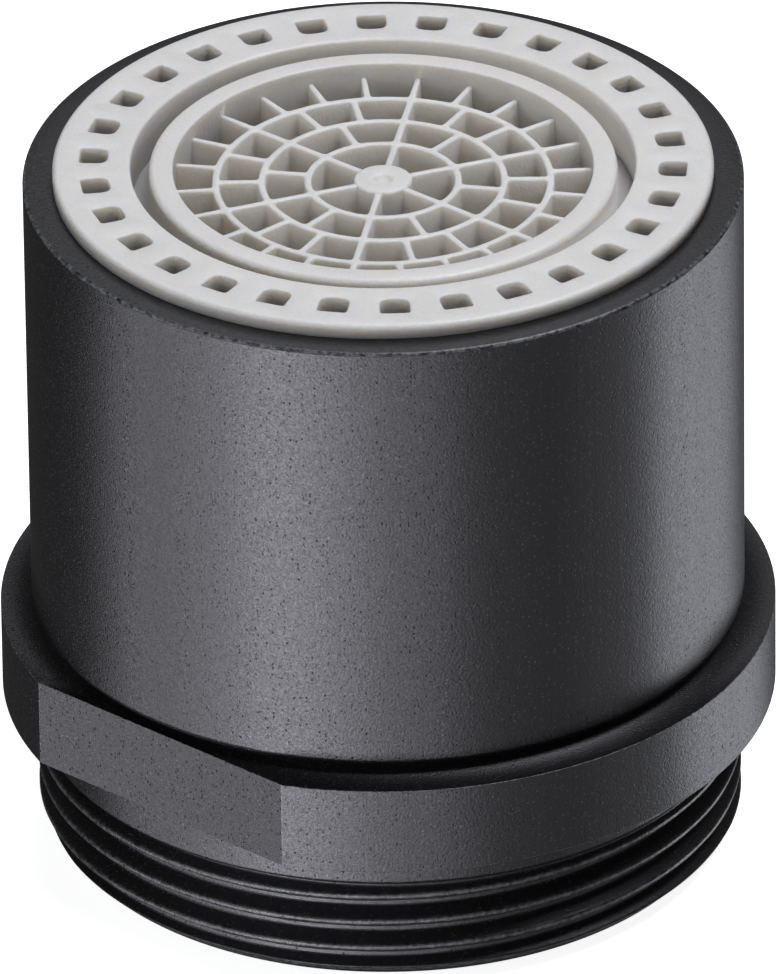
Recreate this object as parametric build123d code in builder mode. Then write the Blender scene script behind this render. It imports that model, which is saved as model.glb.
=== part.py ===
"""Tap aerator with a male spout thread, standing on its inlet end with the outlet up.

Sizes are in millimetres and angles in degrees. The origin is the centre of the spout gasket's lower
face, +Z points along the water to the outlet, and the spanner flats face +Y and -Y.
"""
import os

from build123d import *

# Spout thread, flange and spigot of the adapter; the flange and its flats follow the thread
THREAD_D = 23.9
THREAD_LENGTH = 5.0
THREAD_END_CHAMFER = 0.5
FLANGE_OVERHANG = 1.175
FLANGE_D = THREAD_D + 2 * FLANGE_OVERHANG
FLANGE_HEIGHT = 3.15
FLAT_STEP = 0.05
ACROSS_FLATS = THREAD_D + 2 * FLAT_STEP
WATERWAY_D = 17.0
SPIGOT_LENGTH = 4.6

# Gaskets
SPOUT_GASKET_WIDTH = 1.4
SPOUT_GASKET_THICKNESS = 2.0
SPOUT_GASKET_PROUD = 0.3
INNER_GASKET_THICKNESS = 1.6
INNER_GASKET_OVERHANG = 0.85
GASKET_CLEARANCE = 0.1

# Sleeve, a little wider than the thread
SLEEVE_STEP = 0.125
SLEEVE_D = THREAD_D + 2 * SLEEVE_STEP
SLEEVE_HEIGHT = 15.9
SLEEVE_WALL = 1.3
SHADOW_GAP = 0.3
THREAD_CLEARANCE = 0.075

# Slotted ring and its barrel
RING_SEAT = 0.3
RING_WIDTH = 2.615
RING_PROUD = 0.48
RING_THICKNESS = 1.6
RING_EDGE = 0.1
BARREL_WALL = 1.1
SLOT_COUNT = 30
SLOT_WIDTH = 1.0
SLOT_SHARE = 0.36
SLOT_DEPTH = 4.0

# Jet former: casing, rim and outlet grille; the outlet follows the slotted ring round it
GROOVE_WIDTH = 0.61
OUTLET_D = SLEEVE_D - 2 * (SLEEVE_WALL - RING_SEAT + RING_WIDTH + GROOVE_WIDTH)
OUTLET_WALL = 0.815
RIM_DROP = 0.13
GRILLE_RECESS = 0.55
GRILLE_HEIGHT = 2.1
HUB_D = 1.95
DIMPLE_D = 0.7
DIMPLE_DEPTH = 0.15
RIB_WIDTH = 0.25
RIB_ZONES = 4
RIBS_PER_ZONE_STEP = 6
FOOT_THICKNESS = 0.8
WINDOW_COUNT = 6
WINDOW_WIDTH = 3.0
WINDOW_MARGIN = 0.3
FIT_CLEARANCE = 0.08

# Filter screen, jet plate and mixing grid
FILTER_THICKNESS = 0.6
FILTER_DEPTH = 4.3
FILTER_CLEARANCE = 0.25
FILTER_SLIT_COUNT = 6
FILTER_SLIT_WIDTH = 3.2
FILTER_SLIT_START = 2.2
FILTER_SLIT_MARGIN = 0.6
JET_PLATE_THICKNESS = 1.0
JET_COUNT = 16
JET_WIDTH = 0.5
JET_LENGTH = 1.0
JET_INSET = 1.0
GRID_HEIGHT = 1.5
GRID_RIM = 0.6
GRID_BAR_WIDTH = 0.5
GRID_BAR_COUNT = 5

# Levels above the rest plane
thread_end_z = SPOUT_GASKET_PROUD
flange_bottom_z = thread_end_z + THREAD_LENGTH
flange_top_z = flange_bottom_z + FLANGE_HEIGHT
spigot_top_z = flange_top_z + SPIGOT_LENGTH
insert_bottom_z = spigot_top_z + INNER_GASKET_THICKNESS
sleeve_bottom_z = flange_top_z + SHADOW_GAP
sleeve_top_z = sleeve_bottom_z + SLEEVE_HEIGHT
ring_top_z = sleeve_top_z + RING_PROUD
ring_underside_z = ring_top_z - RING_THICKNESS
rim_top_z = ring_top_z - RIM_DROP
grille_top_z = rim_top_z - GRILLE_RECESS
grille_bottom_z = grille_top_z - GRILLE_HEIGHT
grid_z = grille_bottom_z - GRID_HEIGHT
jet_plate_z = insert_bottom_z + FILTER_THICKNESS
foot_z = jet_plate_z + JET_PLATE_THICKNESS
foot_top_z = foot_z + FOOT_THICKNESS
window_z = foot_top_z + WINDOW_MARGIN
window_height = grid_z - WINDOW_MARGIN - window_z
filter_apex_z = insert_bottom_z - FILTER_DEPTH

# Radii, from the sleeve inwards and from the outlet outwards
thread_r = THREAD_D / 2
flange_r = FLANGE_D / 2
waterway_r = WATERWAY_D / 2
spout_gasket_r = waterway_r + SPOUT_GASKET_WIDTH
sleeve_r = SLEEVE_D / 2
sleeve_bore_r = sleeve_r - SLEEVE_WALL
barrel_r = sleeve_bore_r - THREAD_CLEARANCE
ring_r = sleeve_bore_r + RING_SEAT
barrel_bore_r = barrel_r - BARREL_WALL
outlet_r = OUTLET_D / 2
outlet_bore_r = outlet_r - OUTLET_WALL
mouth_r = outlet_r + GROOVE_WIDTH
slot_r = (mouth_r + ring_r) / 2
slot_length = (ring_r - mouth_r) * SLOT_SHARE
hub_r = HUB_D / 2
rib_pitch = (outlet_bore_r + RIB_WIDTH / 2 - hub_r) / RIB_ZONES
inner_gasket_bore_r = waterway_r - INNER_GASKET_OVERHANG
filter_r = inner_gasket_bore_r - FILTER_CLEARANCE
grid_r = outlet_bore_r - FIT_CLEARANCE
grid_opening_r = grid_r - GRID_RIM
jet_ring_r = outlet_bore_r - JET_INSET

# Rubber ring in the threaded end; the whole part stands on it
with BuildPart() as spout_gasket:
    with BuildSketch(Plane.XY):
        Circle(spout_gasket_r)
        Circle(waterway_r, mode=Mode.SUBTRACT)
    extrude(amount=SPOUT_GASKET_THICKNESS)

# Turned adapter: thread blank, flange with two flats and spigot
with BuildPart() as threaded_adapter:
    with BuildSketch(Plane.XZ):
        with BuildLine():
            Polyline(
                (waterway_r, SPOUT_GASKET_THICKNESS),
                (spout_gasket_r + GASKET_CLEARANCE, SPOUT_GASKET_THICKNESS),
                (spout_gasket_r + GASKET_CLEARANCE, thread_end_z),
                (thread_r - THREAD_END_CHAMFER, thread_end_z),
                (thread_r, thread_end_z + THREAD_END_CHAMFER),
                (thread_r, flange_bottom_z),
                (flange_r, flange_bottom_z),
                (flange_r, flange_top_z),
                (barrel_r, flange_top_z),
                (barrel_r, spigot_top_z),
                (waterway_r, spigot_top_z),
                close=True,
            )
        make_face()
    revolve(axis=Axis.Z)
    with BuildSketch(Plane.XY.offset(flange_bottom_z)):
        Circle(FLANGE_D)
        Rectangle(2 * FLANGE_D, ACROSS_FLATS, mode=Mode.SUBTRACT)
    extrude(amount=FLANGE_HEIGHT, mode=Mode.SUBTRACT)

# Turned sleeve, screwed onto the spigot and closed at the top by the slotted ring
with BuildPart() as sleeve:
    with BuildSketch(Plane.XZ):
        with BuildLine():
            Polyline(
                (sleeve_bore_r, sleeve_bottom_z),
                (sleeve_r, sleeve_bottom_z),
                (sleeve_r, sleeve_top_z),
                (sleeve_bore_r, sleeve_top_z),
                close=True,
            )
        make_face()
    revolve(axis=Axis.Z)

# Rubber ring squeezed between the spigot and the insert
with BuildPart() as inner_gasket:
    with BuildSketch(Plane.XY.offset(spigot_top_z)):
        Circle(barrel_r - GASKET_CLEARANCE)
        Circle(inner_gasket_bore_r, mode=Mode.SUBTRACT)
    extrude(amount=INNER_GASKET_THICKNESS)

# Strainer cone that hangs into the waterway
with BuildPart() as filter_screen:
    with BuildSketch(Plane.XZ):
        with BuildLine():
            Polyline(
                (0, filter_apex_z),
                (filter_r, insert_bottom_z),
                (barrel_r, insert_bottom_z),
                (barrel_r, jet_plate_z),
                (filter_r, jet_plate_z),
                (0, filter_apex_z + FILTER_THICKNESS),
                close=True,
            )
        make_face()
    revolve(axis=Axis.Z)
    slit_end_r = filter_r - FILTER_SLIT_MARGIN
    slit_start_half = FILTER_SLIT_WIDTH / 2 * FILTER_SLIT_START / slit_end_r
    with BuildSketch(Plane.XY.offset(filter_apex_z)):
        with PolarLocations(0, FILTER_SLIT_COUNT):
            Polygon(
                (FILTER_SLIT_START, -slit_start_half),
                (slit_end_r, -FILTER_SLIT_WIDTH / 2),
                (slit_end_r, FILTER_SLIT_WIDTH / 2),
                (FILTER_SLIT_START, slit_start_half),
                align=None,
            )
    extrude(amount=FILTER_DEPTH + FILTER_THICKNESS, mode=Mode.SUBTRACT)

# Plate that splits the water into jets
with BuildPart() as jet_plate:
    with BuildSketch(Plane.XY.offset(jet_plate_z)):
        Circle(barrel_r)
        with PolarLocations(jet_ring_r, JET_COUNT):
            Rectangle(JET_LENGTH, JET_WIDTH, mode=Mode.SUBTRACT)
    extrude(amount=JET_PLATE_THICKNESS)

# Ring of parallel bars under the grille
with BuildPart() as mixing_grid:
    bar_pitch = 2 * grid_opening_r / (GRID_BAR_COUNT + 1)
    with BuildSketch(Plane.XY.offset(grid_z)):
        Circle(grid_r)
        Circle(grid_opening_r, mode=Mode.SUBTRACT)
        for bar in range(GRID_BAR_COUNT):
            bar_x = (bar + 1) * bar_pitch - grid_opening_r
            bar_reach = ((grid_opening_r + grid_r) ** 2 / 4 - bar_x ** 2) ** 0.5
            with Locations((bar_x, 0)):
                Rectangle(GRID_BAR_WIDTH, 2 * bar_reach)
    extrude(amount=GRID_HEIGHT)

# Casing and outlet grille in one moulding
with BuildPart() as jet_former:
    with BuildSketch(Plane.XZ):
        with BuildLine():
            Polyline(
                (barrel_r, foot_z),
                (barrel_r, foot_top_z),
                (outlet_r, foot_top_z),
                (outlet_r, rim_top_z),
                (outlet_bore_r, rim_top_z),
                (outlet_bore_r, foot_z),
                close=True,
            )
        make_face()
    revolve(axis=Axis.Z)
    with BuildSketch(Plane.XY.offset(window_z)):
        with PolarLocations((outlet_bore_r + outlet_r) / 2, WINDOW_COUNT):
            Rectangle(2 * OUTLET_WALL, WINDOW_WIDTH)
    extrude(amount=window_height, mode=Mode.SUBTRACT)
    with BuildSketch(Plane.XY.offset(grille_bottom_z)):
        for zone in reversed(range(1, RIB_ZONES)):
            Circle(hub_r + zone * rib_pitch + RIB_WIDTH / 2)
            Circle(hub_r + zone * rib_pitch - RIB_WIDTH / 2, mode=Mode.SUBTRACT)
        Circle(hub_r)
        for zone in range(RIB_ZONES):
            with PolarLocations(hub_r + (zone + 1 / 2) * rib_pitch, RIBS_PER_ZONE_STEP * (zone + 1)):
                Rectangle(rib_pitch + RIB_WIDTH, RIB_WIDTH)
    extrude(amount=GRILLE_HEIGHT)
    with BuildSketch(Plane.XY.offset(grille_top_z)):
        Circle(DIMPLE_D / 2)
    extrude(amount=-DIMPLE_DEPTH, mode=Mode.SUBTRACT)

# Outer shell of the insert: threaded barrel, seat on the sleeve and ring of slots
with BuildPart() as slotted_ring:
    with BuildSketch(Plane.XZ):
        with BuildLine():
            Polyline(
                (barrel_bore_r, foot_top_z),
                (barrel_r, foot_top_z),
                (barrel_r, sleeve_top_z),
                (ring_r, sleeve_top_z),
                (ring_r, ring_top_z - RING_EDGE),
                (ring_r - RING_EDGE, ring_top_z),
                (mouth_r, ring_top_z),
                (mouth_r, ring_underside_z),
                (barrel_bore_r, ring_underside_z),
                close=True,
            )
        make_face()
    revolve(axis=Axis.Z)
    with BuildSketch(Plane.XY.offset(ring_top_z)):
        with PolarLocations(slot_r, SLOT_COUNT):
            Rectangle(slot_length, SLOT_WIDTH)
    extrude(amount=-SLOT_DEPTH, mode=Mode.SUBTRACT)

pieces = {
    "spout_gasket": spout_gasket,
    "threaded_adapter": threaded_adapter,
    "sleeve": sleeve,
    "inner_gasket": inner_gasket,
    "filter_screen": filter_screen,
    "jet_plate": jet_plate,
    "mixing_grid": mixing_grid,
    "jet_former": jet_former,
    "slotted_ring": slotted_ring,
}
os.makedirs("parts", exist_ok=True)
for label, piece in pieces.items():
    piece.part.label = label
    export_step(piece.part, f"parts/{label}.step")
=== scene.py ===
"""Looks of a tap aerator: black coated sleeve and threaded adapter with a grey moulded outlet.

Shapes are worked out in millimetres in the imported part's frame and made in metres. Turned pieces come from
a rounded profile, and what goes round the axis (slots, cells, thread, strainer wires) from node trees.
"""

import math

import bmesh
import bpy
from mathutils import Matrix, Vector


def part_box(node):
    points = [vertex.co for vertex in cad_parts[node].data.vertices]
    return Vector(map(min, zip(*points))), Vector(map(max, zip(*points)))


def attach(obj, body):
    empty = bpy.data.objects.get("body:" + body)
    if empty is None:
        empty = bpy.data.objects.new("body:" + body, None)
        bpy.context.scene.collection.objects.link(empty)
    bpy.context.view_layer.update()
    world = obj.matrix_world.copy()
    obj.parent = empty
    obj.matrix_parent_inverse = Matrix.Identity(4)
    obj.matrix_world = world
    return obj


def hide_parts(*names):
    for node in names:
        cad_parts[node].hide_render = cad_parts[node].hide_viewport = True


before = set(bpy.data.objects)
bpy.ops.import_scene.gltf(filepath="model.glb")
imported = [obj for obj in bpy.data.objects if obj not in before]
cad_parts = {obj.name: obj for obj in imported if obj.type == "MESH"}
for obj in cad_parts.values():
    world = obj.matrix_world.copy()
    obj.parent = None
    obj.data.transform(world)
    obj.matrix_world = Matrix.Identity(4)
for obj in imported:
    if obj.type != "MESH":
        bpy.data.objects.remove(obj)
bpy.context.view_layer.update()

MM = 0.001
WELD = 0.000002

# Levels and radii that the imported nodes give
sleeve_low, sleeve_high = (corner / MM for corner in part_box("sleeve"))
ring_low, ring_high = (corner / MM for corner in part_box("slotted_ring"))
adapter_low, adapter_high = (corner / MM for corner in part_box("threaded_adapter"))
casing_low, casing_high = (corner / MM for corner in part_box("jet_former"))
gasket_low, gasket_high = (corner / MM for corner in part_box("spout_gasket"))
strainer_low, strainer_high = (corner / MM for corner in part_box("filter_screen"))
grid_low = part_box("mixing_grid")[0] / MM

# Adapter
THREAD_R = 11.95
THREAD_PITCH = 1.0
THREAD_DEPTH = 0.5
THREAD_CREST_Z = 3.75
THREAD_ROW = 0.04
GROOVE_FLOOR_SHARE = 0.2
GROOVE_TOP_SHARE = 0.84
CREST_WEAR_AND_HIGHLIGHT = 0.35
CREST_WEAR_AND_HIGHLIGHT_POWER = 8.0
SHOULDER_Z = 4.2
THREAD_RUNOUT = 0.4
END_CHAMFER = 0.6
FLANGE_BOTTOM_Z = 5.3
FLANGE_TOP_Z = 8.45
FLANGE_EDGE = 0.15
FLANGE_EDGE_STEPS = 4
SHARP_EDGE = math.radians(20)
LEVEL_SLACK = 0.01
WATERWAY_R = 8.5
GASKET_SEAT_R = 10.0
GASKET_EDGE = 0.15
SPIGOT_R = 10.7

# Sleeve
SLEEVE_BORE_R = 10.775
SLEEVE_TOP_EDGE = 0.13
SLEEVE_FOOT_EDGE = 0.3

# Slotted ring
MOUTH_R = 8.46
RING_PLATE = 1.6
RING_EDGE = 0.2
MOUTH_EDGE = 0.1
BARREL_WALL = 0.35
SLOT_COUNT = 30
SLOT_R = 9.70
SLOT_LENGTH = 0.94
SLOT_WIDTH = 1.0
SLOT_INNER_CORNER = 0.36
SLOT_OUTER_CORNER = 0.12
SLOT_EDGE = 0.05
SLOT_STEPS = (6, 3, 6, 3)

# Outlet rim, grille and casing
OUTLET_R = 7.85
OUTLET_BORE_R = 7.035
RIM_OUTER_EDGE = 0.22
RIM_INNER_EDGE = 0.06
GRILLE_TOP_Z = 24.45
GRILLE_BOTTOM_Z = 22.35
HUB_R = 0.975
HUB_PROUD = 0.05
HUB_EDGE = 0.1
HUB_STEPS = 72
DIMPLE_R = 0.35
DIMPLE_DEPTH = 0.12
ZONES = 4
CELLS_PER_ZONE_STEP = 6
RIB_WIDTH = 0.24
RIB_EDGE = 0.07
RIB_DRAFT = 0.05
RIB_TAPER = (0.95, 0.95, 0.95, 0.7)
DRAFT_SHARES = (0.5, 1.0)
CELL_CORNER = 0.16
ARC_SHARE = 4
RIB_STEPS = 4
FOOT_THICKNESS = 0.8
FOOT_EDGE = 0.1
COLLAR_R = 8.9
COLLAR_THICKNESS = 0.5
WINDOW_COUNT = 6
WINDOW_WIDTH = 3.0
WINDOW_MARGIN = 0.3

# Strainer
STRAINER_R = 7.4
STRAINER_WALL = 0.6
STRAINER_CELLS = 6
STRAINER_CELL_START = 2.2
STRAINER_CELL_END = 6.8
STRAINER_TIP_R = STRAINER_CELL_START / 3
STRAINER_RIB = 1.5
STRAINER_STEPS = (6, 8, 10, 8)
WIRE_R = 0.07
WIRE_PITCH = 0.5
WIRE_SPOKES = 72
WIRE_SIDES = 5

# Steps and limits that all shapes share
WEAR_AND_HIGHLIGHT_ROUNDING = 0.25
TURN_STEPS = 240
ARC_STEPS = 5
CORNER_STEPS = 4
QUARTER_STEPS = 3
LONGEST_CUT = 0.45
EVEN_SHADING_WEIGHT = 90

# Surface grain, specks (as many cells have a pit instead) and edges lightened partly as wear and partly as
# painted highlight
GRAIN_DETAIL = 1.5
CLOUD_DETAIL = 4.0
SPECK_SHARE = 0.35
SPECK_UNEVENNESS = 2.0
SPECK_GLOSS = 0.08
PATCHY_START = 0.35
PATCHY_END = 0.65
WEAR_AND_HIGHLIGHT_DETAIL = 4.0
WEAR_AND_HIGHLIGHT_GLOSS = 0.08
NOISE_START = 0.3
NOISE_END = 0.7

# Floor, camera at the photograph's angle, lights and world, in metres
FLOOR_SIZE = 4.0
CAMERA_AZIMUTH = math.radians(40.0)
CAMERA_ELEVATION = math.radians(30.31)
CAMERA_ROLL = 0.012
CAMERA_DISTANCE = 0.65
AIM_HEIGHT = 0.01247
AIM_RIGHT = 0.000105
AIM_UP = 0.00005
LENS = 711.4
SENSOR = 36.0
CLIP_START = 0.01
LIGHT_TINT = (0.95, 0.975, 1.05)
LOW_BOX = {"rise": -28.0, "distance": 0.30, "width": 0.10, "height": 0.10}
OVERHEAD_BOX = {"rise": 70.0, "distance": 0.40, "width": 0.20, "height": 0.20}
BACK_BOX = {"rise": 45.0, "distance": 0.40, "width": 0.20, "height": 0.20}
RAISED_BOX = {"rise": 18.0, "distance": 0.40, "width": 0.25, "height": 0.16}
WORLD_STRENGTH = 0.052


def set_inputs(made, values):
    """Links or sets a node's inputs by name or number."""
    for key, value in values.items():
        if isinstance(value, bpy.types.NodeSocket):
            made.id_data.links.new(value, made.inputs[key])
        else:
            made.inputs[key].default_value = value
    return made


def add_node(tree, kind, values=None, **settings):
    """A new node with its settings and inputs."""
    made = tree.nodes.new(kind)
    for key, value in settings.items():
        setattr(made, key, value)
    return set_inputs(made, values or {})


def calc(tree, operation, *values):
    """A Math node's result."""
    made = add_node(tree, "ShaderNodeMath", dict(enumerate(values)), operation=operation)
    return made.outputs[0]


def new_tree(name, kind, inputs, outputs):
    """A node tree with named sockets; returns the tree, its input node and its output node."""
    tree = bpy.data.node_groups.new(name, kind)
    for direction, sockets in (("INPUT", inputs), ("OUTPUT", outputs)):
        for label, socket, value in sockets:
            made = tree.interface.new_socket(label, in_out=direction, socket_type=socket)
            if value is not None:
                made.default_value = value
    return tree, tree.nodes.new("NodeGroupInput"), tree.nodes.new("NodeGroupOutput")


def paint_and_end(tree, shape, given, made):
    """Gives what a tree has made its finish and puts it out."""
    painted = add_node(
        tree,
        "GeometryNodeSetMaterial",
        {"Geometry": shape.outputs[0], "Material": given.outputs["Finish"]},
    )
    tree.links.new(painted.outputs[0], made.inputs[0])
    return tree


def copies_round_axis_tree():
    """Repeats a piece round the axis and welds the copies."""
    tree, given, made = new_tree(
        "copies_round_axis",
        "GeometryNodeTree",
        [
            ("Geometry", "NodeSocketGeometry", None),
            ("Copies", "NodeSocketInt", 6),
            ("Weld", "NodeSocketFloat", WELD),
            ("Finish", "NodeSocketMaterial", None),
        ],
        [("Geometry", "NodeSocketGeometry", None)],
    )
    points = add_node(tree, "GeometryNodePoints", {"Count": given.outputs["Copies"]})
    step = calc(tree, "DIVIDE", 2 * math.pi, given.outputs["Copies"])
    turn = calc(tree, "MULTIPLY", add_node(tree, "GeometryNodeInputIndex").outputs[0], step)
    euler = add_node(tree, "ShaderNodeCombineXYZ", {"Z": turn})
    rotation = add_node(tree, "FunctionNodeEulerToRotation", {0: euler.outputs[0]})
    placed = add_node(
        tree,
        "GeometryNodeInstanceOnPoints",
        {
            "Points": points.outputs[0],
            "Instance": given.outputs["Geometry"],
            "Rotation": rotation.outputs[0],
        },
    )
    real = add_node(tree, "GeometryNodeRealizeInstances", {0: placed.outputs[0]})
    welded = add_node(
        tree,
        "GeometryNodeMergeByDistance",
        {"Geometry": real.outputs[0], "Distance": given.outputs["Weld"]},
    )
    return paint_and_end(tree, welded, given, made)


def cut_thread_tree():
    """Cuts a right-hand helical groove into the outside of a turned blank."""
    tree, given, made = new_tree(
        "cut_thread",
        "GeometryNodeTree",
        [
            ("Geometry", "NodeSocketGeometry", None),
            ("Crest Radius", "NodeSocketFloat", THREAD_R * MM),
            ("Depth", "NodeSocketFloat", THREAD_DEPTH * MM),
            ("Pitch", "NodeSocketFloat", THREAD_PITCH * MM),
            ("Crest Height", "NodeSocketFloat", THREAD_CREST_Z * MM),
            ("Shoulder Height", "NodeSocketFloat", SHOULDER_Z * MM),
            ("Run Out", "NodeSocketFloat", THREAD_RUNOUT * MM),
            ("Finish", "NodeSocketMaterial", None),
        ],
        [("Geometry", "NodeSocketGeometry", None)],
    )
    place = add_node(tree, "GeometryNodeInputPosition")
    xyz = add_node(tree, "ShaderNodeSeparateXYZ", {0: place.outputs[0]})
    x, y, z = xyz.outputs
    squares = calc(tree, "ADD", calc(tree, "MULTIPLY", x, x), calc(tree, "MULTIPLY", y, y))
    radius = calc(tree, "SQRT", squares)
    turn = calc(tree, "DIVIDE", calc(tree, "ARCTAN2", y, x), 2 * math.pi)
    above_crest = calc(tree, "SUBTRACT", z, given.outputs["Crest Height"])
    climb = calc(tree, "DIVIDE", above_crest, given.outputs["Pitch"])
    phase = calc(tree, "FRACT", calc(tree, "SUBTRACT", climb, turn))
    flank = calc(tree, "ABSOLUTE", calc(tree, "SUBTRACT", calc(tree, "MULTIPLY", phase, 2), 1))
    groove = add_node(
        tree,
        "ShaderNodeMapRange",
        {
            "Value": flank,
            "From Min": GROOVE_FLOOR_SHARE,
            "From Max": GROOVE_TOP_SHARE,
            "To Min": 1.0,
            "To Max": 0.0,
        },
    )
    start = calc(tree, "SUBTRACT", given.outputs["Shoulder Height"], given.outputs["Run Out"])
    fade = add_node(
        tree,
        "ShaderNodeMapRange",
        {
            "Value": z,
            "From Min": start,
            "From Max": given.outputs["Shoulder Height"],
            "To Min": 1.0,
            "To Max": 0.0,
        },
        interpolation_type="SMOOTHSTEP",
    )
    groove_share = calc(tree, "MULTIPLY", groove.outputs[0], fade.outputs[0])
    cut = calc(tree, "MULTIPLY", groove_share, given.outputs["Depth"])
    kept = calc(tree, "MINIMUM", radius, calc(tree, "SUBTRACT", given.outputs["Crest Radius"], cut))
    share = calc(tree, "DIVIDE", kept, radius)
    moved = add_node(
        tree,
        "ShaderNodeCombineXYZ",
        {"X": calc(tree, "MULTIPLY", x, share), "Y": calc(tree, "MULTIPLY", y, share), "Z": z},
    )
    shaped = add_node(
        tree,
        "GeometryNodeSetPosition",
        {"Geometry": given.outputs["Geometry"], "Position": moved.outputs[0]},
    )
    # Thread crests get the edge value that paints them lighter: painted glint along the crests, and wear.
    crest = calc(tree, "MULTIPLY", calc(tree, "SUBTRACT", 1.0, groove.outputs[0]), fade.outputs[0])
    edge = calc(tree, "MULTIPLY", calc(tree, "POWER", crest, CREST_WEAR_AND_HIGHLIGHT_POWER), CREST_WEAR_AND_HIGHLIGHT)
    worn_and_lit = add_node(
        tree,
        "GeometryNodeStoreNamedAttribute",
        {"Geometry": shaped.outputs[0], "Name": "edge", "Value": edge},
        data_type="FLOAT",
        domain="POINT",
    )
    real = add_node(tree, "GeometryNodeRealizeInstances", {0: worn_and_lit.outputs[0]})
    return paint_and_end(tree, real, given, made)


def wires_on_edges_tree():
    """Lays a round wire along every edge of a surface."""
    tree, given, made = new_tree(
        "wires_on_edges",
        "GeometryNodeTree",
        [
            ("Geometry", "NodeSocketGeometry", None),
            ("Wire Radius", "NodeSocketFloat", WIRE_R * MM),
            ("Sides", "NodeSocketInt", WIRE_SIDES),
            ("Finish", "NodeSocketMaterial", None),
        ],
        [("Geometry", "NodeSocketGeometry", None)],
    )
    path = add_node(tree, "GeometryNodeMeshToCurve", {0: given.outputs["Geometry"]})
    section = add_node(
        tree,
        "GeometryNodeCurvePrimitiveCircle",
        {"Radius": given.outputs["Wire Radius"], "Resolution": given.outputs["Sides"]},
    )
    wires = add_node(
        tree,
        "GeometryNodeCurveToMesh",
        {"Curve": path.outputs[0], "Profile Curve": section.outputs[0], "Fill Caps": True},
    )
    real = add_node(tree, "GeometryNodeRealizeInstances", {0: wires.outputs[0]})
    return paint_and_end(tree, real, given, made)


def run_tree(piece, tree, values):
    """Runs a node tree on a piece and keeps the result as its plain mesh."""
    modifier = piece.modifiers.new(tree.name, "NODES")
    modifier.node_group = tree
    for socket in tree.interface.items_tree:
        if socket.in_out == "INPUT" and socket.name in values:
            modifier[socket.identifier] = values[socket.name]
    keep_result(piece, modifier)


def keep_result(piece, modifier):
    """Turns what a modifier makes into the piece's plain mesh and removes the modifier."""
    shown = piece.evaluated_get(bpy.context.evaluated_depsgraph_get())
    mesh = bpy.data.meshes.new_from_object(shown)
    piece.modifiers.remove(modifier)
    piece.data = mesh


def new_piece(name, shape):
    """A piece from a bmesh in millimetres."""
    bmesh.ops.scale(shape, vec=(MM, MM, MM), verts=shape.verts)
    bmesh.ops.remove_doubles(shape, verts=shape.verts, dist=WELD)
    bmesh.ops.recalc_face_normals(shape, faces=shape.faces)
    mesh = bpy.data.meshes.new(name)
    shape.to_mesh(mesh)
    shape.free()
    piece = bpy.data.objects.new(name, mesh)
    bpy.context.scene.collection.objects.link(piece)
    return piece


def hand_over(piece, slot, *nodes):
    """Welds, smooths and paints a finished piece and sets it on the frame."""
    shape = bmesh.new()
    shape.from_mesh(piece.data)
    bmesh.ops.remove_doubles(shape, verts=shape.verts, dist=WELD)
    bmesh.ops.recalc_face_normals(shape, faces=shape.faces)
    for face in shape.faces:
        face.smooth = True
    shape.to_mesh(piece.data)
    shape.free()
    piece.data.materials.clear()
    piece.data.materials.append(finishes[slot])
    weighted = piece.modifiers.new("even_shading", "WEIGHTED_NORMAL")
    weighted.weight = EVEN_SHADING_WEIGHT
    keep_result(piece, weighted)
    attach(piece, "root")
    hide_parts(*nodes)


def put_together(name, pieces):
    """One piece from several whose borders meet."""
    shape = bmesh.new()
    for piece in pieces:
        shape.from_mesh(piece.data)
        bpy.data.objects.remove(piece)
    bmesh.ops.scale(shape, vec=(1 / MM,) * 3, verts=shape.verts)
    return new_piece(name, shape)


def combine(piece, other, operation):
    """Unites a closed piece with another closed one that reaches into it, or cuts the other out of it."""
    modifier = piece.modifiers.new("combine", "BOOLEAN")
    modifier.operation = operation
    modifier.solver = "MANIFOLD"
    modifier.object = other
    keep_result(piece, modifier)
    bpy.data.objects.remove(other)


def rounded_profile(corners):
    """A closed profile of (radius, height, edge) points.

    Each corner gives its rounding, and tight ones get the edge value that lightens them, partly as wear and
    partly as painted highlight.
    """
    profile = []
    for number, (radius, height, rounding) in enumerate(corners):
        corner = Vector((radius, height))
        if not rounding:
            profile.append((radius, height, 0.0))
            continue
        before = Vector(corners[number - 1][:2]) - corner
        after = Vector(corners[(number + 1) % len(corners)][:2]) - corner
        start = corner + before.normalized() * rounding
        end = corner + after.normalized() * rounding
        for step in range(ARC_STEPS + 1):
            share = step / ARC_STEPS
            turn = share * math.pi / 2
            point = corner + (start - corner) * (1 - math.sin(turn)) + (end - corner) * (1 - math.cos(turn))
            # Tight roundings get an edge value that paints them lighter: partly wear, partly painted
            # highlight.
            worn_and_lit = math.sin(math.pi * share) if rounding <= WEAR_AND_HIGHLIGHT_ROUNDING else 0.0
            profile.append((point.x, point.y, worn_and_lit))
    return profile


def turned(profile, steps=TURN_STEPS):
    """A closed shape turned from a closed profile, with an edge value on its roundings."""
    shape = bmesh.new()
    edge = shape.verts.layers.float.new("edge")
    rings = []
    for step in range(steps):
        turn = 2 * math.pi * step / steps
        ring = []
        for radius, height, worn_and_lit in profile:
            vert = shape.verts.new((radius * math.cos(turn), radius * math.sin(turn), height))
            vert[edge] = worn_and_lit
            ring.append(vert)
        rings.append(ring)
    for step in range(steps):
        here, there = rings[step], rings[(step + 1) % steps]
        for point in range(len(profile)):
            following = (point + 1) % len(profile)
            shape.faces.new((here[point], there[point], there[following], here[following]))
    return shape


def turned_piece(name, corners, steps=TURN_STEPS):
    """A piece turned from (radius, height, rounding) corners."""
    return new_piece(name, turned(rounded_profile(corners), steps))


def arc(radius, start, end):
    """A function of 0 to 1 along an arc round the axis."""
    return lambda share: Vector(
        (radius * math.cos(start + (end - start) * share), radius * math.sin(start + (end - start) * share))
    )


def line(start, end):
    """A function of 0 to 1 along a straight line."""
    return lambda share: start.lerp(end, share)


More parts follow.
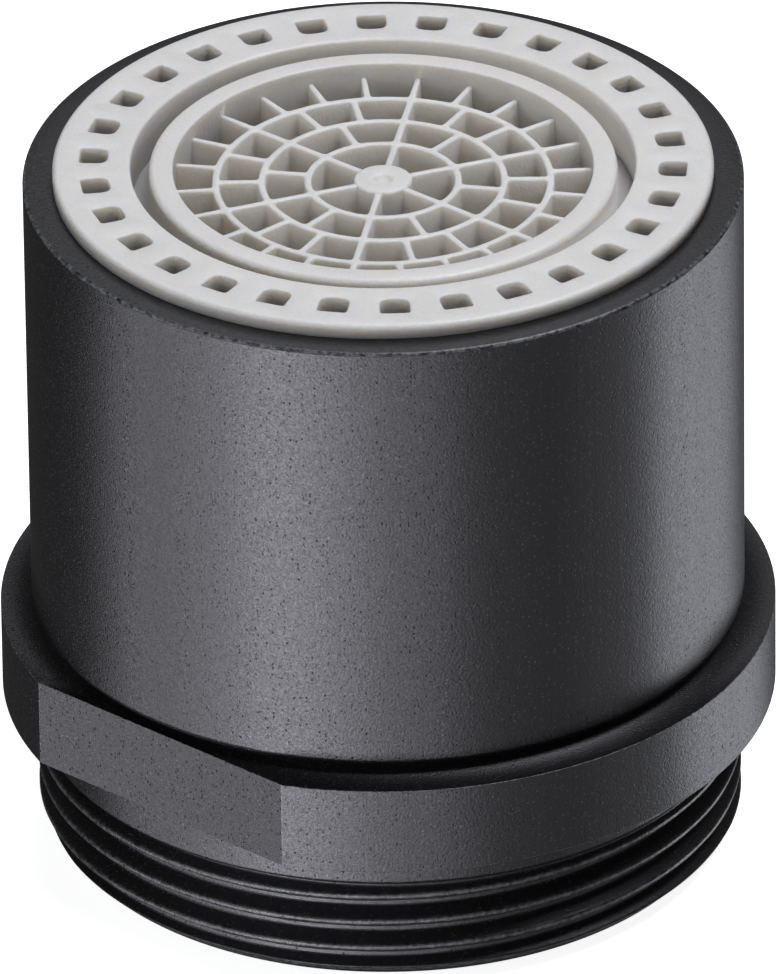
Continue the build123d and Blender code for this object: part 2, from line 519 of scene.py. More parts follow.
def sector_sides(near, far, start, end):
    """The four sides of a sector between two radii, with its half angle at each of them."""
    return (
        arc(near, -start, start),
        line(arc(near, start, start)(0), arc(far, end, end)(0)),
        arc(far, end, -end),
        line(arc(far, -end, -end)(0), arc(near, -start, -start)(0)),
    )


def corner_outline(sides, counts, cuts):
    """Points round four sides with rounded corners, and for each the border point that it belongs to.

    The cuts are how far the rounding reaches along the sides at the start of each side.
    """
    points, homes = [], []
    firsts = [sum(counts[:number]) for number in range(len(sides))]
    lengths = [(side(1) - side(0)).length for side in sides]
    for number, side in enumerate(sides):
        following = (number + 1) % len(sides)
        first = min(cuts[number] / lengths[number], LONGEST_CUT)
        last = 1 - min(cuts[following] / lengths[number], LONGEST_CUT)
        for step in range(counts[number] + 1):
            points.append(side(first + (last - first) * step / counts[number]))
            homes.append((firsts[number] + step) % sum(counts))
        start, corner = points[-1], side(1)
        end = sides[following](min(cuts[following] / lengths[following], LONGEST_CUT))
        for step in range(1, CORNER_STEPS):
            share = step / CORNER_STEPS
            points.append(start.lerp(corner, share).lerp(corner.lerp(end, share), share))
            homes.append(firsts[following])
    return points, homes


def border_points(sides, counts):
    """Points round the sides, with each side's count."""
    return [side(step / count) for side, count in zip(sides, counts) for step in range(count)]


def add_loop(shape, points, height, worn_and_lit=0.0):
    """A loop of new points at one height, or at a height that a function gives for each point."""
    edge = shape.verts.layers.float.get("edge") or shape.verts.layers.float.new("edge")
    loop = []
    for point in points:
        level = height(point) if callable(height) else height
        vert = shape.verts.new((point.x, point.y, level))
        vert[edge] = worn_and_lit
        loop.append(vert)
    return loop


def join_border(shape, border, loop, homes):
    """Faces between a border loop and the rounded outline inside it."""
    for number in range(len(loop)):
        following = (number + 1) % len(loop)
        corners = [loop[number], loop[following], border[homes[following]], border[homes[number]]]
        shape.faces.new(list(dict.fromkeys(corners)))


def join_loops(shape, first, second):
    """Faces between two loops with the same count."""
    for number in range(len(first)):
        following = (number + 1) % len(first)
        shape.faces.new((first[number], first[following], second[following], second[number]))


def join_rows(shape, rows):
    """Faces between open rows with the same count."""
    for first, second in zip(rows, rows[1:]):
        for number in range(len(first) - 1):
            shape.faces.new((first[number], first[number + 1], second[number + 1], second[number]))


def quarter_round(size):
    """Offsets outwards and downwards along a rounded top edge, with an edge value."""
    turns = [math.pi / 2 * step / QUARTER_STEPS for step in range(QUARTER_STEPS + 1)]
    return [(size * (1 - math.sin(turn)), size * (1 - math.cos(turn)), math.cos(turn)) for turn in turns]


def rounded_edge(radius, height, size, side):
    """Profile points of a rounded edge from a top face to an outer wall (side 1) or an inner one (-1)."""
    turns = [math.pi / 2 * step / ARC_STEPS for step in range(ARC_STEPS + 1)]
    return [
        (
            radius - side * size * (1 - math.sin(turn)),
            height - size * (1 - math.cos(turn)),
            math.sin(2 * turn),
        )
        for turn in turns
    ]


def slot_sector():
    """One slot of the slotted ring with its share of the ring and barrel."""
    half = math.pi / SLOT_COUNT
    counts = SLOT_STEPS
    top = ring_high.z
    under = top - RING_PLATE
    seat = sleeve_high.z
    barrel_bore = SPIGOT_R - BARREL_WALL

    def slot_sides(grow):
        near, far = SLOT_R - SLOT_LENGTH / 2 - grow, SLOT_R + SLOT_LENGTH / 2 + grow
        side = SLOT_WIDTH / 2 + grow
        corners = [Vector(pair) for pair in ((near, -side), (near, side), (far, side), (far, -side))]
        return [line(corners[number], corners[(number + 1) % 4]) for number in range(4)]

    shape = bmesh.new()
    face = sector_sides(MOUTH_R + MOUTH_EDGE, ring_high.x - RING_EDGE, half, half)
    rim = add_loop(shape, border_points(face, counts), top)
    loops = []
    for grow, drop, worn_and_lit in quarter_round(SLOT_EDGE):
        inner, outer = SLOT_INNER_CORNER + grow, SLOT_OUTER_CORNER + grow
        points, homes = corner_outline(slot_sides(grow), counts, (inner, inner, outer, outer))
        loops.append(add_loop(shape, points, top - drop, worn_and_lit))
    loops.append(add_loop(shape, points, under))
    floor = add_loop(shape, border_points(sector_sides(MOUTH_R, barrel_bore, half, half), counts), under)
    join_border(shape, rim, loops[0], homes)
    for first, second in zip(loops, loops[1:]):
        join_loops(shape, first, second)
    join_border(shape, floor, loops[-1], homes)

    def rows(profile):
        spread = [half * (2 * step / counts[0] - 1) for step in range(counts[0] + 1)]
        return [
            add_loop(shape, [arc(radius, turn, turn)(0) for turn in spread], height, worn_and_lit)
            for radius, height, worn_and_lit in profile
        ]

    outside = rounded_edge(ring_high.x, top, RING_EDGE, 1)
    outside += [(ring_high.x, seat, 0.0), (SPIGOT_R, seat, 0.0), (SPIGOT_R, ring_low.z, 0.0)]
    outside += [(barrel_bore, ring_low.z, 0.0), (barrel_bore, under, 0.0)]
    mouth = rounded_edge(MOUTH_R, top, MOUTH_EDGE, -1)
    mouth.append((MOUTH_R, under, 0.0))
    join_rows(shape, rows(outside))
    join_rows(shape, rows(mouth))
    return new_piece("slotted_ring_face", shape)


def grille_cell(zone, pitch):
    """One cell of a grille zone with half of each rib and ring round it."""
    half = math.pi / (CELLS_PER_ZONE_STEP * zone)
    inner = HUB_R + (zone - 1) * pitch
    outer = HUB_R + zone * pitch
    if zone == 1:
        inner = HUB_R / 2
    if zone == ZONES:
        outer = (OUTLET_BORE_R + OUTLET_R) / 2
    counts = (ARC_SHARE * max(zone - 1, 1), RIB_STEPS, ARC_SHARE * (zone + 1), RIB_STEPS)
    cuts = (CELL_CORNER,) * 4
    depth = GRILLE_TOP_Z - GRILLE_BOTTOM_Z

    def cell_sides(rib):
        near = HUB_R - RIB_EDGE if zone == 1 else inner + rib
        far = OUTLET_BORE_R + RIB_WIDTH / 2 if zone == ZONES else outer - rib
        start = half - math.asin(rib / near)
        end = half - math.asin(rib * RIB_TAPER[zone - 1] / far)
        return sector_sides(near, far, start, end)

    border = sector_sides(inner, outer, half, half)
    shape = bmesh.new()
    rim = add_loop(shape, border_points(border, counts), GRILLE_TOP_Z)
    loops = []
    for grow, drop, worn_and_lit in quarter_round(RIB_EDGE):
        points, homes = corner_outline(cell_sides(RIB_WIDTH / 2 - grow), counts, cuts)
        loops.append(add_loop(shape, points, GRILLE_TOP_Z - drop, worn_and_lit))
    for share in DRAFT_SHARES:
        points, homes = corner_outline(cell_sides(RIB_WIDTH / 2 + RIB_DRAFT * share), counts, cuts)
        loops.append(add_loop(shape, points, GRILLE_TOP_Z - depth * share))
    floor = add_loop(shape, border_points(border, counts), GRILLE_BOTTOM_Z)
    join_border(shape, rim, loops[0], homes)
    for first, second in zip(loops, loops[1:]):
        join_loops(shape, first, second)
    join_border(shape, floor, loops[-1], homes)
    for side, ends_grille in ((0, zone == 1), (2, zone == ZONES)):
        if ends_grille:
            along = range(sum(counts[:side]), sum(counts[: side + 1]) + 1)
            join_rows(shape, [[loop[number] for number in along] for loop in (rim, floor)])
    bmesh.ops.rotate(shape, matrix=Matrix.Rotation(half, 3, "Z"), verts=shape.verts)
    return new_piece(f"grille_zone_{zone}", shape)


def window_block():
    """The block that cuts one window through the casing's wall, between its foot and the mixing grid."""
    low = casing_low.z + FOOT_THICKNESS + WINDOW_MARGIN
    high = grid_low.z - WINDOW_MARGIN
    through = 2 * (OUTLET_R - OUTLET_BORE_R)
    shape = bmesh.new()
    bmesh.ops.create_cube(shape, size=1.0)
    bmesh.ops.scale(shape, vec=(through, WINDOW_WIDTH, high - low), verts=shape.verts)
    middle = ((OUTLET_R + OUTLET_BORE_R) / 2, 0, (low + high) / 2)
    bmesh.ops.translate(shape, vec=middle, verts=shape.verts)
    return new_piece("casing_windows", shape)


def cone_underside(point):
    """The height of the strainer cone's underside at a point."""
    lip = strainer_high.z - STRAINER_WALL
    return strainer_low.z + (lip - strainer_low.z) * point.length / STRAINER_R


def strainer_cell():
    """One opening of the strainer cone with half of each rib beside it."""
    half = math.pi / STRAINER_CELLS
    counts = STRAINER_STEPS
    lip = strainer_high.z - STRAINER_WALL

    def cone_top(point):
        return cone_underside(point) + STRAINER_WALL

    border = border_points(sector_sides(STRAINER_TIP_R, STRAINER_R, half, half), counts)
    start = half - math.asin(STRAINER_RIB / 2 / STRAINER_CELL_START)
    end = half - math.asin(STRAINER_RIB / 2 / STRAINER_CELL_END)
    cell = sector_sides(STRAINER_CELL_START, STRAINER_CELL_END, start, end)
    points, homes = corner_outline(cell, counts, (CELL_CORNER,) * 4)
    shape = bmesh.new()
    lower = add_loop(shape, border, cone_underside)
    upper = add_loop(shape, border, cone_top)
    # The opening's edges get the edge value that paints them lighter: partly wear, partly painted highlight.
    low_edge = add_loop(shape, points, cone_underside, 1.0)
    high_edge = add_loop(shape, points, cone_top, 1.0)
    join_border(shape, lower, low_edge, homes)
    join_border(shape, upper, high_edge, homes)
    join_loops(shape, low_edge, high_edge)
    spread = [half * (2 * step / counts[2] - 1) for step in range(counts[2] + 1)]
    flange = [
        (STRAINER_R, lip),
        (strainer_high.x, lip),
        (strainer_high.x, strainer_high.z),
        (STRAINER_R, strainer_high.z),
    ]
    rows = []
    for radius, height in flange:
        rows.append(add_loop(shape, [arc(radius, turn, turn)(0) for turn in spread], height))
    join_rows(shape, rows)
    for height, at_tip in ((cone_underside, lower), (cone_top, upper)):
        (pole,) = add_loop(shape, [Vector((0.0, 0.0))], height)
        for number in range(counts[0]):
            shape.faces.new((at_tip[number], at_tip[number + 1], pole))
    return new_piece("strainer_cone", shape)


def wire_cone():
    """The rings and spokes of an open cone that the strainer wires follow."""
    reach = STRAINER_CELL_END - STRAINER_CELL_START
    rows = round(reach / WIRE_PITCH)
    radii = [STRAINER_CELL_START + reach * row / rows for row in range(rows + 1)]
    step = 2 * math.pi / WIRE_SPOKES
    shape = bmesh.new()

    def height(point):
        return cone_underside(point) + STRAINER_WALL / 2

    for radius in radii:
        ring = add_loop(shape, [arc(radius, 0.0, step)(spoke) for spoke in range(WIRE_SPOKES)], height)
        for number in range(WIRE_SPOKES):
            shape.edges.new((ring[number - 1], ring[number]))
    for spoke in range(WIRE_SPOKES):
        wire = add_loop(shape, [arc(radius, 0.0, step)(spoke + 0.5) for radius in radii], height)
        for first, second in zip(wire, wire[1:]):
            shape.edges.new((first, second))
    return new_piece("strainer_wires", shape)


def flange_and_spigot():
    """The adapter above its thread: flange with two flats, spigot and bore."""
    corners = [
        (WATERWAY_R, FLANGE_BOTTOM_Z - END_CHAMFER, 0.0),
        (THREAD_R - THREAD_DEPTH, FLANGE_BOTTOM_Z - END_CHAMFER, 0.0),
        (THREAD_R - THREAD_DEPTH, FLANGE_BOTTOM_Z, 0.0),
        (adapter_high.x, FLANGE_BOTTOM_Z, 0.0),
        (adapter_high.x, FLANGE_TOP_Z, 0.0),
        (SPIGOT_R, FLANGE_TOP_Z, 0.0),
        (SPIGOT_R, adapter_high.z, 0.0),
        (WATERWAY_R, adapter_high.z, 0.0),
    ]
    shape = turned(corners)
    bmesh.ops.recalc_face_normals(shape, faces=shape.faces)
    for side in (-1, 1):
        cut = bmesh.ops.bisect_plane(
            shape,
            geom=shape.verts[:] + shape.edges[:] + shape.faces[:],
            plane_co=(0, side * adapter_high.y, 0),
            plane_no=(0, side, 0),
            clear_outer=True,
        )
        rim = [part for part in cut["geom_cut"] if isinstance(part, bmesh.types.BMEdge)]
        bmesh.ops.edgeloop_fill(shape, edges=rim)
    bmesh.ops.recalc_face_normals(shape, faces=shape.faces)
    lowest, highest = FLANGE_BOTTOM_Z - LEVEL_SLACK, FLANGE_TOP_Z + LEVEL_SLACK
    outer = [
        rim
        for rim in shape.edges
        if rim.is_manifold
        and rim.is_convex
        and rim.calc_face_angle() > SHARP_EDGE
        and all(lowest < vert.co.z < highest for vert in rim.verts)
        and all(vert.co.xy.length > THREAD_R for vert in rim.verts)
    ]
    rounded = bmesh.ops.bevel(
        shape,
        geom=outer,
        offset=FLANGE_EDGE,
        segments=FLANGE_EDGE_STEPS,
        profile=0.5,
        affect="EDGES",
        clamp_overlap=True,
    )
    edge = shape.verts.layers.float.get("edge")
    # Bevel faces get the edge value that paints them lighter: partly wear, partly painted highlight.
    faces = set(rounded["faces"])
    for vert in rounded["verts"]:
        vert[edge] = float(all(face in faces for face in vert.link_faces))
    return new_piece("adapter_flange", shape)


def thread_blank():
    """The plain turned blank that the thread is cut into, with the gasket seat inside it."""
    low, seat = adapter_low.z, gasket_high.z
    chamfer_top, thread_top = low + END_CHAMFER, FLANGE_BOTTOM_Z + FLANGE_EDGE
    rows = round((FLANGE_BOTTOM_Z - low - END_CHAMFER) / THREAD_ROW)
    chamfer_rows = round(END_CHAMFER / THREAD_ROW)
    profile = [(WATERWAY_R, seat, 0.0), (GASKET_SEAT_R, seat, 0.0), (GASKET_SEAT_R, low, 0.0)]
    for row in range(chamfer_rows):
        share = row / chamfer_rows
        profile.append((THREAD_R - END_CHAMFER * (1 - share), low + END_CHAMFER * share, 0.0))
    for row in range(rows + 1):
        profile.append((THREAD_R, chamfer_top + (thread_top - chamfer_top) * row / rows, 0.0))
    profile.append((WATERWAY_R, thread_top, 0.0))
    return new_piece("spout_thread", turned(profile))


def fine_grain_group():
    """Fine surface grain, scattered specks and pits and slow cloudiness, all from Object coordinates."""
    tree, given, made = new_tree(
        "fine_grain",
        "ShaderNodeTree",
        [
            ("Grain Scale", "NodeSocketFloat", 8000.0),
            ("Speck Scale", "NodeSocketFloat", 3500.0),
            ("Speck Size", "NodeSocketFloat", 0.2),
            ("Cloud Scale", "NodeSocketFloat", 250.0),
        ],
        [
            ("Grain", "NodeSocketFloat", None),
            ("Specks", "NodeSocketFloat", None),
            ("Pits", "NodeSocketFloat", None),
            ("Cloud", "NodeSocketFloat", None),
        ],
    )
    place = add_node(tree, "ShaderNodeTexCoord").outputs["Object"]
    grain = add_node(
        tree,
        "ShaderNodeTexNoise",
        {"Vector": place, "Scale": given.outputs["Grain Scale"], "Detail": GRAIN_DETAIL},
    )
    cells = add_node(tree, "ShaderNodeTexVoronoi", {"Vector": place, "Scale": given.outputs["Speck Scale"]})
    near = add_node(
        tree,
        "ShaderNodeMapRange",
        {
            "Value": cells.outputs["Distance"],
            "From Min": 0.0,
            "From Max": given.outputs["Speck Size"],
            "To Min": 1.0,
            "To Max": 0.0,
        },
        interpolation_type="SMOOTHSTEP",
    )
    chance = add_node(tree, "ShaderNodeSeparateXYZ", {0: cells.outputs["Color"]})
    strength = calc(tree, "POWER", chance.outputs[1], SPECK_UNEVENNESS)
    marked = calc(tree, "MULTIPLY", near.outputs[0], strength)
    is_speck = calc(tree, "GREATER_THAN", chance.outputs[0], 1 - SPECK_SHARE)
    is_pit = calc(tree, "LESS_THAN", chance.outputs[0], SPECK_SHARE)
    specks = calc(tree, "MULTIPLY", marked, is_speck)
    pits = calc(tree, "MULTIPLY", marked, is_pit)
    cloud = add_node(
        tree,
        "ShaderNodeTexNoise",
        {"Vector": place, "Scale": given.outputs["Cloud Scale"], "Detail": CLOUD_DETAIL},
    )
    set_inputs(made, {"Grain": grain.outputs[0], "Specks": specks, "Pits": pits, "Cloud": cloud.outputs[0]})
    return tree


def edge_wear_and_highlight_group():
    """How far a rounded edge is lightened, partly as wear and partly as painted highlight, broken up by
    noise.
    """
    tree, given, made = new_tree(
        "edge_wear_and_highlight",
        "ShaderNodeTree",
        [("Noise Scale", "NodeSocketFloat", 1500.0), ("Amount", "NodeSocketFloat", 0.5)],
        [("Wear And Highlight", "NodeSocketFloat", None)],
    )
    place = add_node(tree, "ShaderNodeTexCoord").outputs["Object"]
    noise = add_node(
        tree,
        "ShaderNodeTexNoise",
        {"Vector": place, "Scale": given.outputs["Noise Scale"], "Detail": WEAR_AND_HIGHLIGHT_DETAIL},
    )
    patchy = add_node(
        tree,
        "ShaderNodeMapRange",
        {"Value": noise.outputs[0], "From Min": PATCHY_START, "From Max": PATCHY_END},
    )
    edge = add_node(tree, "ShaderNodeAttribute", attribute_name="edge")
    # The broken-up edge value says where edges are painted lighter: partly wear, partly painted highlight.
    patchy_wear_and_highlight = calc(tree, "MULTIPLY", edge.outputs["Fac"], patchy.outputs[0])
    wear_and_highlight = calc(tree, "MULTIPLY", patchy_wear_and_highlight, given.outputs["Amount"])
    set_inputs(made, {"Wear And Highlight": wear_and_highlight})
    return tree


def mix_colour(tree, share, first, second):
    """A mix of two colours."""
    made = add_node(tree, "ShaderNodeMix", {0: share, 6: first, 7: second}, data_type="RGBA")
    return made.outputs[2]


def spread_noise(tree, noise, low, high):
    """Spreads a noise value between a low and a high value."""
    made = add_node(
        tree,
        "ShaderNodeMapRange",
        {"Value": noise, "From Min": NOISE_START, "From Max": NOISE_END, "To Min": low, "To Max": high},
    )
    return made.outputs[0]


def finish_material(name, look, grain_group, wear_and_highlight_group):
    """A moulded, coated or rubber finish with grain, specks, cloudiness and edges lightened partly as wear
    and partly as painted highlight.
    """
    material = bpy.data.materials.new(name)
    material.use_nodes = True
    tree = material.node_tree
    shader = tree.nodes["Principled BSDF"]
    grain = add_node(tree, "ShaderNodeGroup", node_tree=grain_group)
    set_inputs(grain, look["grain"])
    wear_and_highlight = add_node(tree, "ShaderNodeGroup", node_tree=wear_and_highlight_group)
    set_inputs(wear_and_highlight, look["wear_and_highlight"])
    cloud_share = spread_noise(tree, grain.outputs["Cloud"], 0.0, 1.0)
    colour = mix_colour(tree, cloud_share, *look["colours"])
    grain_share = spread_noise(tree, grain.outputs["Grain"], 0.0, look["grain_tint"])
    colour = mix_colour(tree, grain_share, colour, look["grain_colour"])
    speck_share = calc(tree, "MULTIPLY", grain.outputs["Specks"], look["speck_tint"])
    colour = mix_colour(tree, speck_share, colour, look["speck_colour"])
    # Rounded edges are mixed towards a lighter edge colour: partly wear, partly painted highlight.
    colour = mix_colour(tree, wear_and_highlight.outputs["Wear And Highlight"], colour, look["wear_and_highlight_colour"])
    rough = spread_noise(tree, grain.outputs["Grain"], *look["roughness"])
    rough = calc(tree, "SUBTRACT", rough, calc(tree, "MULTIPLY", wear_and_highlight.outputs["Wear And Highlight"], WEAR_AND_HIGHLIGHT_GLOSS))
    rough = calc(tree, "SUBTRACT", rough, calc(tree, "MULTIPLY", grain.outputs["Specks"], SPECK_GLOSS))
    pits = calc(tree, "MULTIPLY", grain.outputs["Pits"], look["pit_depth"])
    relief = calc(tree, "SUBTRACT", grain.outputs["Grain"], pits)
    bump = add_node(
        tree,
        "ShaderNodeBump",
        {"Height": relief, "Strength": look["bump"], "Distance": look["bump_height"]},
    )
    set_inputs(shader, {"Base Color": colour, "Roughness": rough, "Normal": bump.outputs[0]})
    set_inputs(shader, look["shader"])
    return material


# Each look's edge colour lightens rounded edges and thread crests: partly wear, partly painted highlight.
LOOKS = {
    "black_coat": {
        "grain": {"Grain Scale": 11000.0, "Speck Scale": 10500.0, "Speck Size": 0.55, "Cloud Scale": 300.0},
        "wear_and_highlight": {"Noise Scale": 6000.0, "Amount": 0.35},
        "colours": ((0.002, 0.002, 0.0021, 1), (0.004, 0.004, 0.0042, 1)),
        "grain_tint": 0.5,
        "grain_colour": (0.007, 0.007, 0.0073, 1),
        "pit_depth": 1.4,
        "speck_tint": 1.0,
        "speck_colour": (0.07, 0.07, 0.072, 1),
        "wear_and_highlight_colour": (0.45, 0.45, 0.46, 1),
        "roughness": (0.31, 0.43),
        "bump": 1.0,
        "bump_height": 0.00001,
        "shader": {"Specular IOR Level": 0.5, "Specular Tint": (1.0, 0.97, 1.0, 1)},
    },
    "grey_plastic": {
        "grain": {"Grain Scale": 9000.0, "Speck Scale": 7000.0, "Speck Size": 0.4, "Cloud Scale": 400.0},
        "wear_and_highlight": {"Noise Scale": 2500.0, "Amount": 0.25},
        "colours": ((0.74, 0.715, 0.675, 1), (0.78, 0.755, 0.715, 1)),
        "grain_tint": 0.35,
        "grain_colour": (0.84, 0.82, 0.785, 1),
        "pit_depth": 0.5,
        "speck_tint": 0.5,
        "speck_colour": (0.90, 0.89, 0.87, 1),
        "wear_and_highlight_colour": (0.88, 0.865, 0.84, 1),
        "roughness": (0.3, 0.42),
        "bump": 1.0,
        "bump_height": 0.00002,
        "shader": {
            "Specular IOR Level": 0.5,
            "Subsurface Weight": 1.0,
            "Subsurface Radius": (1.0, 0.85, 0.65),
            "Subsurface Scale": 0.0004,
        },
    },
    "inner_plastic": {
        "grain": {"Grain Scale": 5000.0, "Speck Scale": 1800.0, "Speck Size": 0.1, "Cloud Scale": 400.0},
        "wear_and_highlight": {"Noise Scale": 2500.0, "Amount": 0.2},
        "colours": ((0.50, 0.49, 0.47, 1), (0.55, 0.54, 0.52, 1)),
        "grain_tint": 0.3,
        "grain_colour": (0.60, 0.59, 0.57, 1),
        "pit_depth": 0.5,
        "speck_tint": 0.2,
        "speck_colour": (0.35, 0.34, 0.32, 1),
        "wear_and_highlight_colour": (0.70, 0.69, 0.67, 1),
        "roughness": (0.38, 0.5),
        "bump": 0.3,
        "bump_height": 0.000008,
        "shader": {"Specular IOR Level": 0.5},
    },
    "black_rubber": {
        "grain": {"Grain Scale": 4500.0, "Speck Scale": 2200.0, "Speck Size": 0.15, "Cloud Scale": 350.0},
        "wear_and_highlight": {"Noise Scale": 1800.0, "Amount": 0.4},
        "colours": ((0.020, 0.020, 0.021, 1), (0.028, 0.028, 0.029, 1)),
        "grain_tint": 0.4,
        "grain_colour": (0.045, 0.045, 0.046, 1),
        "pit_depth": 0.5,
        "speck_tint": 0.4,
        "speck_colour": (0.07, 0.07, 0.07, 1),
        "wear_and_highlight_colour": (0.08, 0.08, 0.08, 1),
        "roughness": (0.62, 0.78),
        "bump": 0.5,
        "bump_height": 0.000012,
        "shader": {"Specular IOR Level": 0.4},
    },
}

grain_group, wear_and_highlight_group = fine_grain_group(), edge_wear_and_highlight_group()
finishes = {name: finish_material(name, look, grain_group, wear_and_highlight_group) for name, look in LOOKS.items()}
copies_tree, thread_tree, wires_tree = copies_round_axis_tree(), cut_thread_tree(), wires_on_edges_tree()

# Sleeve
sleeve_body = turned_piece(
    "sleeve_body",
    [
        (SLEEVE_BORE_R, sleeve_low.z, 0.0),
        (sleeve_high.x, sleeve_low.z, SLEEVE_FOOT_EDGE),
        (sleeve_high.x, sleeve_high.z, SLEEVE_TOP_EDGE),
        (SLEEVE_BORE_R, sleeve_high.z, SLEEVE_TOP_EDGE),
    ],
)
hand_over(sleeve_body, "black_coat", "sleeve")

# Adapter
hand_over(flange_and_spigot(), "black_coat", "threaded_adapter")
spout_thread = thread_blank()
run_tree(spout_thread, thread_tree, {"Finish": finishes["black_coat"]})
hand_over(spout_thread, "black_coat", "threaded_adapter")

# Slotted ring
slotted_ring_face = slot_sector()
run_tree(slotted_ring_face, copies_tree, {"Copies": SLOT_COUNT, "Finish": finishes["grey_plastic"]})
hand_over(slotted_ring_face, "grey_plastic", "slotted_ring")

# Outlet rim and casing with the collar that carries the slotted ring, grille zones and hub
collar_top = ring_high.z - RING_PLATE
collar_bottom = collar_top - COLLAR_THICKNESS
foot_top = casing_low.z + FOOT_THICKNESS
outlet_rim = turned_piece(
    "outlet_rim",
    [
        (OUTLET_BORE_R, casing_low.z, 0.0),
        (casing_high.x, casing_low.z, FOOT_EDGE),
        (casing_high.x, foot_top, FOOT_EDGE),
        (OUTLET_R, foot_top, 0.0),
        (OUTLET_R, collar_bottom, 0.0),
        (COLLAR_R, collar_bottom, 0.0),
        (COLLAR_R, collar_top, 0.0),
        (OUTLET_R, collar_top, 0.0),
        (OUTLET_R, casing_high.z, RIM_OUTER_EDGE),
        (OUTLET_BORE_R, casing_high.z, RIM_INNER_EDGE),
    ],
)
zone_pitch = (OUTLET_BORE_R + RIB_WIDTH / 2 - HUB_R) / ZONES
zones = []
for zone in range(1, ZONES + 1):
    cell = grille_cell(zone, zone_pitch)
    run_tree(cell, copies_tree, {"Copies": CELLS_PER_ZONE_STEP * zone, "Finish": finishes["grey_plastic"]})
    zones.append(cell)
outlet_grille = put_together("outlet_grille", zones)
hub_top = GRILLE_TOP_Z + HUB_PROUD
hub = turned_piece(
    "grille_hub",
    [
        (0.0, GRILLE_BOTTOM_Z, 0.0),
        (HUB_R, GRILLE_BOTTOM_Z, HUB_EDGE),
        (HUB_R, hub_top, HUB_EDGE),
        (DIMPLE_R, hub_top, DIMPLE_DEPTH / 2),
        (DIMPLE_R - DIMPLE_DEPTH, hub_top - DIMPLE_DEPTH, DIMPLE_DEPTH / 2),
        (0.0, hub_top - DIMPLE_DEPTH, 0.0),
    ],
    HUB_STEPS,
)
windows = window_block()
run_tree(windows, copies_tree, {"Copies": WINDOW_COUNT, "Finish": finishes["grey_plastic"]})
combine(outlet_rim, windows, "DIFFERENCE")
combine(outlet_grille, outlet_rim, "UNION")
combine(outlet_grille, hub, "UNION")
hand_over(outlet_grille, "grey_plastic", "jet_former")

# Spout gasket
spout_gasket_ring = turned_piece(
    "spout_gasket_ring",
    [
        (WATERWAY_R, gasket_low.z, GASKET_EDGE),
        (gasket_high.x, gasket_low.z, GASKET_EDGE),
        (gasket_high.x, gasket_high.z, GASKET_EDGE),
        (WATERWAY_R, gasket_high.z, GASKET_EDGE),
    ],
)
hand_over(spout_gasket_ring, "black_rubber", "spout_gasket")

# Strainer with its wires
strainer = strainer_cell()
run_tree(strainer, copies_tree, {"Copies": STRAINER_CELLS, "Finish": finishes["inner_plastic"]})
hand_over(strainer, "inner_plastic", "filter_screen")
wires = wire_cone()
run_tree(wires, wires_tree, {"Finish": finishes["inner_plastic"]})
hand_over(wires, "inner_plastic", "filter_screen")

# Inner pieces that stay as packed
packed_finishes = {
    "inner_gasket": "black_rubber",
    "jet_plate": "inner_plastic",
    "mixing_grid": "inner_plastic",
}
for node, finish in packed_finishes.items():
    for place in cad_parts[node].material_slots:
        place.material = finishes[finish]

# Floor
floor_mesh = bpy.data.meshes.new("floor")
floor_shape = bmesh.new()
bmesh.ops.create_grid(floor_shape, x_segments=1, y_segments=1, size=FLOOR_SIZE)
floor_shape.to_mesh(floor_mesh)
floor_shape.free()
floor = bpy.data.objects.new("floor", floor_mesh)
bpy.context.scene.collection.objects.link(floor)
floor_paint = bpy.data.materials.new("pale_floor")
floor_paint.use_nodes = True
set_inputs(
    floor_paint.node_tree.nodes["Principled BSDF"],
    {
        "Base Color": (0.9, 0.9, 0.9, 1),
        "Roughness": 0.9,
        "Specular IOR Level": 0.1,
        "Emission Color": (1, 1, 1, 1),
        "Emission Strength": 0.85,
    },
)
floor.data.materials.append(floor_paint)
floor.visible_diffuse = False
floor.visible_glossy = False
floor.visible_shadow = False

# Camera
back = Vector(
    (
        math.sin(CAMERA_AZIMUTH) * math.cos(CAMERA_ELEVATION),
        -math.cos(CAMERA_AZIMUTH) * math.cos(CAMERA_ELEVATION),
        math.sin(CAMERA_ELEVATION),
    )
)
right = Vector((math.cos(CAMERA_AZIMUTH), math.sin(CAMERA_AZIMUTH), 0.0))
up = back.cross(right)
aim = Vector((0.0, 0.0, AIM_HEIGHT)) + right * AIM_RIGHT + up * AIM_UP
rolled_right = right * math.cos(CAMERA_ROLL) - up * math.sin(CAMERA_ROLL)
rolled_up = up * math.cos(CAMERA_ROLL) + right * math.sin(CAMERA_ROLL)
camera_data = bpy.data.cameras.new("camera")
camera_data.lens = LENS
camera_data.sensor_width = SENSOR
camera_data.clip_start = CLIP_START
camera = bpy.data.objects.new("camera", camera_data)
bpy.context.scene.collection.objects.link(camera)
camera.matrix_world = Matrix.Translation(aim + back * CAMERA_DISTANCE) @ Matrix(
    (rolled_right, rolled_up, back)
).transposed().to_4x4()
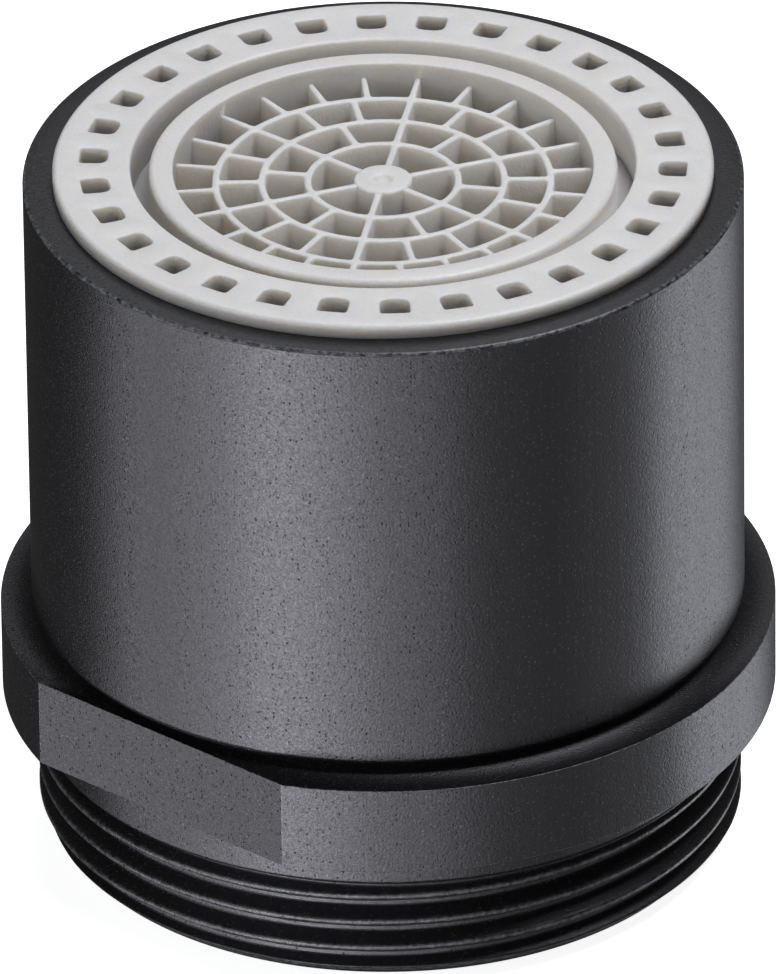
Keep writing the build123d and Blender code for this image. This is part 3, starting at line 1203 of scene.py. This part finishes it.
bpy.context.scene.camera = camera


def soft_light(name, turn, radiance, rise, distance, width, height):
    """A soft box that faces the part.

    It stands at a turn to the right of the camera and a rise above the horizon, both in degrees.
    """
    azimuth = CAMERA_AZIMUTH + math.radians(turn)
    lift = math.radians(rise)
    towards = Vector(
        (math.sin(azimuth) * math.cos(lift), -math.cos(azimuth) * math.cos(lift), math.sin(lift))
    )
    data = bpy.data.lights.new(name, "AREA")
    data.shape = "RECTANGLE"
    data.size = width
    data.size_y = height
    data.energy = radiance * math.pi * width * height
    data.color = LIGHT_TINT
    lamp = bpy.data.objects.new(name, data)
    lamp.visible_camera = False
    bpy.context.scene.collection.objects.link(lamp)
    lamp.location = Vector((0.0, 0.0, AIM_HEIGHT)) + towards * distance
    lamp.rotation_mode = "QUATERNION"
    lamp.rotation_quaternion = towards.to_track_quat("Z", "Y")


# Each light's name, turn, radiance and box
lights = (
    ("left_box", -85.0, 3.3, LOW_BOX),
    ("left_front_box", -60.0, 4.9, LOW_BOX),
    ("front_left_box", -36.0, 11.8, LOW_BOX),
    ("front_box", -15.0, 7.7, LOW_BOX),
    ("front_right_box", 10.0, 4.2, LOW_BOX),
    ("right_front_box", 40.0, 0.8, LOW_BOX),
    ("right_box", 70.0, 0.9, LOW_BOX),
    ("right_rim_box", 105.0, 4.3, LOW_BOX),
    ("right_back_box", 130.0, 2.0, LOW_BOX),
    ("overhead_right_box", 90.0, 8.0, OVERHEAD_BOX),
    ("overhead_back_box", 180.0, 1.8, OVERHEAD_BOX),
    ("raised_back_box", 180.0, 1.06, BACK_BOX),
    ("raised_left_box", -55.0, 2.4, RAISED_BOX),
    ("raised_front_box", 0.0, 1.2, RAISED_BOX),
)
for name, turn, radiance, box in lights:
    soft_light(name, turn, radiance, **box)

world = bpy.data.worlds.new("studio")
world.use_nodes = True
set_inputs(world.node_tree.nodes["Background"], {"Color": (1, 1, 1, 1), "Strength": WORLD_STRENGTH})
bpy.context.scene.world = world
bpy.context.scene.view_settings.view_transform = "Standard"
